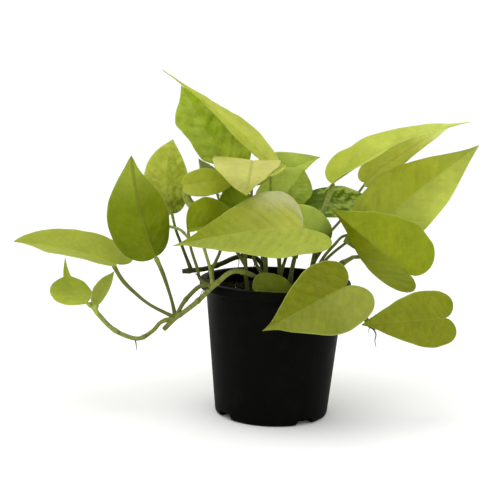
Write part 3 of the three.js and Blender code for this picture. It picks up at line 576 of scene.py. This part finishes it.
def makeBlade(leaf, order):
    look = lookOf(leaf)
    leaf = {**leaf, **look["shape"]}
    axes = bladeAxes(leaf)
    length = axes[1]
    rows, columns = blade["grid"] if length > blade["small"] else blade["smallGrid"]
    bm = bmesh.new()
    bmesh.ops.create_grid(bm, x_segments=rows, y_segments=columns, size=0.5)
    phaseLayer = bm.verts.layers.float.new("veinPhase")
    ribLayer = bm.verts.layers.float.new("fromRib")
    partLayer = bm.verts.layers.float.new("part")
    strengths = {key: bm.verts.layers.float.new(key) for key in ("wrinkleShading", "mottle")}
    tintLayer = bm.verts.layers.float_color.new("tint")
    colours, tips, feet = ([optional(sided(look[key], side)) for side in (0, 1)]
                           for key in ("colour", "tip", "foot"))
    rim, marble, ribCreaseShade = (optional(look[key]) for key in ("rim", "marble", "ribCreaseShade"))
    spacing = length / look["veins"]
    seed = Vector((order * 7.3, order * 3.1, 0))
    for vert in bm.verts:
        share, across = vert.co.x + 0.5, vert.co.y * 2
        side = 0 if across < 0 else 1
        edge = outlineAt(leaf, side, share)
        part = abs(across)
        rib = ribAt(leaf, share)
        along = rib + (edge[0] - rib) * part ** 1.4
        uneven = 1 + look["ragged"] * noise.noise(Vector((along * 9 + side * 20, 0, 5)) + seed) * 2
        for bitten, place, reach, depth in look["bites"]:
            if side == bitten:
                uneven -= depth * math.exp(-((along - place) / reach) ** 2)
        half = math.copysign(edge[1] * part * sided(leaf["width"], side) / 2 * uneven, across)
        fromRib = abs(half)
        spot = Vector((along * length, half, 0))
        drift = 0.3 * noise.noise(Vector((along * 6, side * 9, 1)) + seed)
        back = blade["veinSlant"] * fromRib + blade["veinCurve"] * fromRib ** 2
        phase = (along * length - back) / spacing + side * 0.45 + drift
        fromVein = abs(phase - round(phase))
        fade = 1 - smoothStep(part, 0.5, 1)
        relief = -look["quilt"] * (1 - smoothStep(fromVein, 0, 0.35)) * fade * smoothStep(fromRib, 0.5, 3)
        relief -= look["ribDepth"] * (1 - smoothStep(fromRib, 0, 1.6))
        turn = along * look["waves"] + 0.31 * order + 0.5 * side + look["shift"]
        relief += look["wave"] * part ** 2 * math.sin(2 * math.pi * turn)
        relief += look["lumps"] * noise.noise(spot / look["lumpSize"] + seed)
        vert[phaseLayer] = phase
        vert[ribLayer] = fromRib
        vert[partLayer] = part * min(1, edge[1] * 8)
        # Each half's colour; where the halves differ, it is mostly painted light and shade.
        tint = mixed(colours[0], colours[1], smoothStep(math.copysign(fromRib, across), -0.5, 0.5))
        if marble:
            cloud = noise.noise(spot / 5 + seed) + 0.8 * noise.noise(spot / 1.8 + seed)
            tint = mixed(tint, marble, 0.75 * smoothStep(cloud + 1.2 * along, 0.4, 1.05))
        # Towards the tip and the foot: mostly painted light and shade.
        if tips[side]:
            tint = mixed(tint, tips[side], smoothStep(along, 0.45, 1))
        if feet[side]:
            tint = mixed(tint, feet[side], 1 - smoothStep(along, 0, look["footReach"]))
        # The rim colour is a painted sheen along one margin, fading out along the blade.
        if rim and side == look["rimSide"]:
            tint = mixed(tint, rim, smoothStep(part, 0.35, 0.85) * (1 - smoothStep(along, *look["rimReach"])))
        # Painted shade along the midrib's fold.
        if ribCreaseShade:
            tint = mixed(tint, ribCreaseShade, 0.7 * (1 - smoothStep(fromRib, 0.3, 1.8)))
        # Painted shade in the grooves over the side veins, or paler ones below zero.
        creaseShadeMask = (1 - smoothStep(fromVein, 0, 0.3)) * (1 - smoothStep(part, 0.6, 1))
        creaseShadeMask *= smoothStep(fromRib, 0, 2) * (0.55 + 0.9 * noise.noise(spot / 8 + seed))
        tint = mixed(tint, [channel * 0.35 for channel in tint[:3]] + [1], look["creaseShade"] * creaseShadeMask)
        vert[tintLayer] = tint
        for key, layer in strengths.items():
            vert[layer] = look[key]
        ends = min(1, 12 * share) * min(1, 12 * (1 - share))
        vert.co = bladePoint(leaf, axes, along, half, relief * ends) * mm
    bmesh.ops.remove_doubles(bm, verts=bm.verts, dist=0.02 * mm)
    bmesh.ops.reverse_faces(bm, faces=bm.faces)
    for face in bm.faces:
        face.smooth = True
    name = leaf["name"]
    piece = addObject(name + "Blade", meshFrom(bm, name + "Mesh", leafUpper, leafUnder))
    skin = piece.modifiers.new("thickness", "SOLIDIFY")
    skin.thickness = blade["thickness"] * mm
    skin.offset = 0
    skin.material_offset = 1
    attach(piece, "root")
    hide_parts(name)


# A smooth line through the points, with a point about every `step` mm.
def smoothLine(points, step=1.5):
    points = [Vector(p) for p in points]
    line = []
    for i in range(len(points) - 1):
        p1, p2 = points[i], points[i + 1]
        p0 = points[i - 1] if i else p1 * 2 - p2
        p3 = points[i + 2] if i + 2 < len(points) else p2 * 2 - p1
        d0, d1, d2 = (max((b - a).length, 1e-4) ** 0.5 for a, b in ((p0, p1), (p1, p2), (p2, p3)))
        t1 = ((p1 - p0) / d0 - (p2 - p0) / (d0 + d1) + (p2 - p1) / d1) * d1
        t2 = ((p2 - p1) / d1 - (p3 - p1) / (d1 + d2) + (p3 - p2) / d2) * d1
        count = max(2, round((p2 - p1).length / step))
        for k in range(count):
            t = k / count
            square, cube = p2 * 3 - p1 * 3 - t1 * 2 - t2, p1 * 2 - p2 * 2 + t1 + t2
            line.append(p1 + t1 * t + square * t ** 2 + cube * t ** 3)
    line.append(points[-1])
    return line


# Adds a round tube along a line, with a radius (mm) and a colour for each of its points.
def addTube(bm, line, radii, tints, resolution=3):
    curve = bpy.data.curves.new("tube", "CURVE")
    curve.dimensions = "3D"
    curve.bevel_depth = mm
    curve.bevel_resolution = resolution
    curve.use_fill_caps = True
    spline = curve.splines.new("POLY")
    spline.points.add(len(line) - 1)
    for point, place, radius in zip(spline.points, line, radii):
        point.co = (*(place * mm), 1)
        point.radius = radius
    holder = bpy.data.objects.new("tube", curve)
    mesh = bpy.data.meshes.new_from_object(holder)
    ring = len(mesh.vertices) // len(line)
    tintLayer = bm.verts.layers.float_color["tint"]
    before = len(bm.verts)
    bm.from_mesh(mesh)
    bm.verts.ensure_lookup_table()
    for i in range(before, len(bm.verts)):
        bm.verts[i][tintLayer] = tints[min((i - before) // ring, len(tints) - 1)]
    bpy.data.objects.remove(holder)
    bpy.data.curves.remove(curve)
    bpy.data.meshes.remove(mesh)


def lengthsAlong(line):
    lengths = [0]
    for a, b in zip(line, line[1:]):
        lengths.append(lengths[-1] + (b - a).length)
    return lengths


# A stem's nodes: swollen and ringed every nodeSpacing mm. Gives the radius and the colour for each point.
def stemLook(lengths, radius, young, old, ring, aged, fresh=None):
    radii, tints = [], []
    for length in lengths:
        fromNode = abs((length - stem["rootDepth"]) / stem["nodeSpacing"] % 1 - 0.5) * stem["nodeSpacing"]
        radii.append(radius * (0.92 + 0.22 * math.exp(-(fromNode / 1.6) ** 2)))
        # Darker towards the soil: partly older skin, partly painted shade on the stems' low parts.
        tint = mixed(young, old, max(aged, 0.5 * (1 - smoothStep(length, 20, 75))))
        if fresh:
            tint = mixed(tint, fresh, 1 - smoothStep(lengths[-1] - length, 5, 50))
        tints.append(mixed(tint, ring, 0.75 * math.exp(-(fromNode / 0.7) ** 2)))
    return radii, tints


# A leaf stalk: sheathed at its foot and thickened where it meets the blade.
def stalkLook(lengths, radius, full, tint, root, knee):
    radii, tints = [], []
    total = lengths[-1]
    for at in lengths:
        left = total - at
        sheath = 0.3 * math.exp(-(at / 7) ** 2)
        swollen = 0.2 * math.exp(-((left - 3) / 2.6) ** 2)
        thick = radius + (stalk["endRadius"] - radius) * at / total
        if full > thick:
            swell = smoothStep(at / total, 0.3, 0.8) * smoothStep(left, 0, min(2 * full, total / 3))
            thick += (full - thick) * swell
        radii.append(thick * (1 + sheath + swollen))
        # Darker towards the stem: partly older skin, partly painted shade.
        aged = mixed(tint, root, 0.35 * (1 - at / total) * smoothStep(total, 10, 40))
        tints.append(mixed(aged, knee, 0.6 * math.exp(-(left / 7) ** 2)))
    radii[-1] *= 0.75
    return radii, tints


def makeVine(vine):
    bm = bmesh.new()
    bm.verts.layers.float_color.new("tint")
    young, old, ring, cut, knee, root, fresh = (
        linear(bark[key]) for key in ("young", "old", "ring", "cut", "knee", "root", "fresh"))
    route = vine["route"]
    line = smoothLine([Vector(route[0]) - Vector((0, 0, stem["rootDepth"])), *route])
    aged = 1 if vine["bark"] == "old" else 0
    radii, tints = stemLook(lengthsAlong(line), vine["radius"], young, old, ring, aged)
    radii[-1] *= 0.9
    tints[-1] = tints[-2] = old if aged else cut
    addTube(bm, line, radii, tints, 4)
    for shoot in vine.get("shoots", ()):
        part = smoothLine([route[shoot["start"]], *shoot["via"], route[shoot["end"]]])
        addTube(bm, part, *stemLook(lengthsAlong(part), shoot["radius"], young, old, ring, 0.3))
    for spur in vine.get("spurs", ()):
        part = smoothLine(spur["points"])
        radii, tints = stemLook(lengthsAlong(part), spur["radius"], young, young, ring, 0, fresh)
        radii = [radius * (1 + 0.2 * i / len(radii)) for i, radius in enumerate(radii)]
        addTube(bm, part, radii, tints)
    for leaf in vine["leaves"]:
        base, _, forward, face, _ = bladeAxes(leaf)
        start = leaf["start"] if isinstance(leaf["start"], tuple) else route[leaf["start"]]
        part = smoothLine([start, *leaf["via"], base - face * 0.55 + forward * 0.5])
        look = lookOf(leaf)
        # The stalk's colour: stalkTint, or darker towards old bark by stalkShade, partly older skin and
        # partly painted shade.
        tint = optional(look["stalkTint"]) or mixed(young, old, look["stalkShade"])
        radius = leaf.get("stalk", stalk["rootRadius"])
        addTube(bm, part, *stalkLook(lengthsAlong(part), radius, look["stalkFull"], tint, old, knee))
    for thick, points in aerialRoots.get(vine["name"], ()):
        part = smoothLine(points, 0.8)
        radii = [thick * (1 - 0.7 * i / len(part)) for i in range(len(part))]
        addTube(bm, part, radii, [root] * len(part), 2)
    for face in bm.faces:
        face.smooth = True
    piece = addObject(vine["name"] + "Stem", meshFrom(bm, vine["name"] + "Mesh", stemBark))
    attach(piece, "root")
    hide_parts(vine["name"])


leafCount = 0
for vine in vines:
    makeVine(vine)
    for leaf in vine["leaves"]:
        makeBlade(leaf, leafCount)
        leafCount += 1
print("plant made,", leafCount, "leaves")

# ---- pot and soil ----

potShape = dict(rimRadius=60, height=108, lipHeight=7, shoulderRadius=55, baseRadius=45, wall=1.4, floor=2,
                corner=3, sides=128)
drain = dict(count=4, firstAngle=-54.5, width=12, flare=3.5, height=4.8, inner=35, depth=20)
soilShape = dict(level=99, crown=2, radius=52, gap=0.4, sides=96, rings=26, crumbs=1100, grit=24, spread=50)


def wallRadius(height):
    p = potShape
    return p["baseRadius"] + (p["shoulderRadius"] - p["baseRadius"]) * height / (p["height"] - p["lipHeight"])


# A body of revolution from an outline of (radius, height) points in mm.
def turnedMesh(name, outline, sides):
    bm = bmesh.new()
    ring = [bm.verts.new((radius * mm, 0, height * mm)) for radius, height in outline]
    edges = [bm.edges.new(pair) for pair in zip(ring, ring[1:])]
    bmesh.ops.spin(bm, geom=ring + edges, cent=(0, 0, 0), axis=(0, 0, 1), angle=2 * math.pi, steps=sides,
                   use_merge=True)
    bmesh.ops.remove_doubles(bm, verts=bm.verts, dist=0.01 * mm)
    bmesh.ops.recalc_face_normals(bm, faces=bm.faces)
    for face in bm.faces:
        face.smooth = True
    return meshFrom(bm, name)


# The points that round a corner of an outline off.
def rounded(corner, before, after, radius, steps=4):
    corner, before, after = Vector(corner), Vector(before), Vector(after)
    start = corner + (before - corner).normalized() * radius
    end = corner + (after - corner).normalized() * radius
    shares = [k / steps for k in range(steps + 1)]
    return [tuple(start.lerp(corner, t).lerp(corner.lerp(end, t), t)) for t in shares]


def potOutline():
    p = potShape
    under = p["height"] - p["lipHeight"]
    corners = [(0, 0), (p["baseRadius"], 0), (wallRadius(under), under), (p["rimRadius"], under),
               (p["rimRadius"], p["height"]), (wallRadius(p["height"]) - p["wall"], p["height"]),
               (wallRadius(p["floor"]) - p["wall"], p["floor"]), (0, p["floor"])]
    radii = [0, p["corner"], 0.8, 1.2, 1.2, 0.8, 1.2, 0]
    outline = [corners[0]]
    for i in range(1, len(corners) - 1):
        outline += rounded(corners[i], corners[i - 1], corners[i + 1], radii[i])
        if i == 1:
            outline += [(wallRadius(height), height) for height in (4, 5, 7, 20, 45, 70)]
    return outline + [corners[-1]]


potSkin = dict(base="#060604", dust="#14140e", dustSize=22, grainSize=0.7, shine=0.03)  # sizes in mm


# Black polypropylene, injection moulded: satin, with faint dust and rub marks.
def potMaterial():
    material, tree, shader = newMaterial("black moulded polypropylene")
    place = objectPlace(tree)
    dust = noiseAt(tree, place, potSkin["dustSize"], 6.0, 0.65)
    grain = noiseAt(tree, place, potSkin["grainSize"], 2.0)
    share = ranged(tree, dust, 0.5, 0.8, 0.0, 0.5)
    colour = mixColour(tree, share, linear(potSkin["base"]), linear(potSkin["dust"]))
    tree.links.new(colour, shader.inputs["Base Color"])
    tree.links.new(ranged(tree, dust, 0.3, 0.7, 0.45, 0.62), shader.inputs["Roughness"])
    addBump(tree, shader, grain, 0.15, 0.1)
    shader.inputs["Specular IOR Level"].default_value = potSkin["shine"]
    return material


potMesh = turnedMesh("potMesh", potOutline(), potShape["sides"])
potMesh.materials.append(potMaterial())
potShell = addObject("potShell", potMesh)
cutters = bmesh.new()
for i in range(drain["count"]):
    angle = math.radians(drain["firstAngle"]) + 2 * math.pi * i / drain["count"]
    block = bmesh.ops.create_cube(cutters, size=1)["verts"]
    for vert in block:
        x, y, z = vert.co * 2
        out = drain["inner"] + (drain["depth"] if x > 0 else 0)
        wide = drain["width"] / 2 + (drain["flare"] if z < 0 else 0)
        vert.co = Vector((out, y * wide, -1 if z < 0 else drain["height"])) * mm
    bmesh.ops.rotate(cutters, cent=(0, 0, 0), matrix=Matrix.Rotation(angle, 3, "Z"), verts=block)
cutter = addObject("notches", meshFrom(cutters, "notches"))
cut = potShell.modifiers.new("notches", "BOOLEAN")
cut.object = cutter
cut.solver = "EXACT"
bpy.context.view_layer.update()
cutShell = potShell.evaluated_get(bpy.context.evaluated_depsgraph_get())
cutMesh = bpy.data.meshes.new_from_object(cutShell)
potShell.modifiers.clear()
potShell.data = cutMesh
bpy.data.objects.remove(cutter)
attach(potShell, "root")
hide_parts("pot")


# Potting soil: dark, crumbly and dry on top. With other colours and grain it is the perlite grit.
def soilMaterial(name, dark, light, grain):
    material, tree, shader = newMaterial(name)
    fine = noiseAt(tree, objectPlace(tree), grain, 6.0, 0.7)
    colour = mixColour(tree, ranged(tree, fine, 0.35, 0.65, 0.0, 1.0), linear(dark), linear(light))
    tree.links.new(colour, shader.inputs["Base Color"])
    addBump(tree, shader, fine, 0.9, 0.8)
    shader.inputs["Roughness"].default_value = 0.95
    shader.inputs["Specular IOR Level"].default_value = 0.15
    return material


peat = soilMaterial("peat potting soil", "#120e08", "#2e2718", 2.2)
perlite = soilMaterial("perlite grit", "#8f8874", "#c9c2b0", 1.5)


def soilHeight(x, y):
    far = math.hypot(x, y) / soilShape["radius"]
    level = soilShape["level"] - soilShape["crown"] * far ** 1.5
    mounds, clods = noise.noise(Vector((x / 9, y / 9, 3))), noise.noise(Vector((x / 3, y / 3, 8)))
    return level - 0.6 + 1.1 * mounds + 0.6 * clods


bottom = potShape["floor"] + drain["height"]
inset = potShape["wall"] + soilShape["gap"]
sideTop = soilShape["level"] - soilShape["crown"]
edge = wallRadius(sideTop) - inset
outline = [(0, bottom), (wallRadius(bottom) - inset, bottom), (edge, sideTop)]
outline += [(edge * (1 - k / soilShape["rings"]), sideTop) for k in range(1, soilShape["rings"] + 1)]
soilMesh = turnedMesh("soilMesh", outline, soilShape["sides"])
for vert in soilMesh.vertices:
    x, y, z = vert.co / mm
    if z > sideTop - 0.5:
        vert.co.z = soilHeight(x, y) * mm
soilMesh.materials.append(peat)
soilBed = addObject("soilBed", soilMesh)


# Small uneven lumps, strewn over the soil.
def scatter(name, material, count, sizes, squash):
    bm = bmesh.new()
    for _ in range(count):
        reach, turn = soilShape["spread"] * math.sqrt(random.random()), random.uniform(0, 2 * math.pi)
        x, y = reach * math.cos(turn), reach * math.sin(turn)
        size = random.uniform(*sizes)
        bit = bmesh.ops.create_icosphere(bm, subdivisions=1, radius=0.5 * size * mm)["verts"]
        seed = Vector((random.random() * 50, random.random() * 50, 0))
        for vert in bit:
            vert.co *= 1 + 0.45 * noise.noise(vert.co / (size * mm) * 2 + seed)
        bmesh.ops.scale(bm, vec=(1, random.uniform(0.6, 1), squash), verts=bit)
        spin = Matrix.Rotation(random.uniform(0, 6.28), 3, (random.random(), random.random(), 0.5))
        bmesh.ops.rotate(bm, cent=(0, 0, 0), matrix=spin, verts=bit)
        bmesh.ops.translate(bm, vec=Vector((x, y, soilHeight(x, y) + 0.2 * size)) * mm, verts=bit)
    return addObject(name, meshFrom(bm, name + "Mesh", material))


crumbs = scatter("soilCrumbs", peat, soilShape["crumbs"], (1.2, 3.6), 0.7)
grit = scatter("perliteGrit", perlite, soilShape["grit"], (1.2, 3.0), 0.8)
for piece in (soilBed, crumbs, grit):
    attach(piece, "root")
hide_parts("soil")
print("pot and soil made")

# ---- floor, light and camera ----

view = dict(place=(-20.9, -923, 277), pitch=9, roll=1.8, lens=85)  # mm and degrees
studio = dict(sky=1.04, lampPower=6, lampSize=1.2, lampPlace=(-0.25, -0.25, 1.5), lampAim=(0, 0, 0.12))

bm = bmesh.new()
bmesh.ops.create_grid(bm, x_segments=2, y_segments=2, size=4)
material, tree, shader = newMaterial("white paper backdrop")
shader.inputs["Base Color"].default_value = linear("#fdfdfc")
shader.inputs["Roughness"].default_value = 0.9
shader.inputs["Specular IOR Level"].default_value = 0.1
floor = addObject("studioFloor", meshFrom(bm, "floorMesh", material))

world = bpy.data.worlds.new("studio")
bpy.context.scene.world = world
world.use_nodes = True
tree = world.node_tree
sky = tree.nodes["Background"]
sky.inputs["Color"].default_value = (1, 1, 1, 1)
sky.inputs["Strength"].default_value = studio["sky"]

light = bpy.data.lights.new("softboxOverhead", "AREA")
light.shape = "DISK"
light.size = studio["lampSize"]
light.energy = studio["lampPower"]
lamp = addObject("softboxOverhead", light)
lamp.location = studio["lampPlace"]
aim = Vector(studio["lampAim"]) - Vector(studio["lampPlace"])
lamp.rotation_euler = aim.to_track_quat("-Z", "Y").to_euler()

pitch, roll = math.radians(view["pitch"]), math.radians(view["roll"])
ahead = Vector((0, math.cos(pitch), -math.sin(pitch)))
level, above = Vector((1, 0, 0)), Vector((0, math.sin(pitch), math.cos(pitch)))
right = level * math.cos(roll) + above * math.sin(roll)
top = above * math.cos(roll) - level * math.sin(roll)
cameraData = bpy.data.cameras.new("camera")
cameraData.lens = view["lens"]
camera = addObject("camera", cameraData)
turn = Matrix((right, top, -ahead)).transposed().to_4x4()
camera.matrix_world = Matrix.Translation(Vector(view["place"]) * mm) @ turn
bpy.context.scene.camera = camera
bpy.context.scene.view_settings.view_transform = "Standard"
print("stage set")
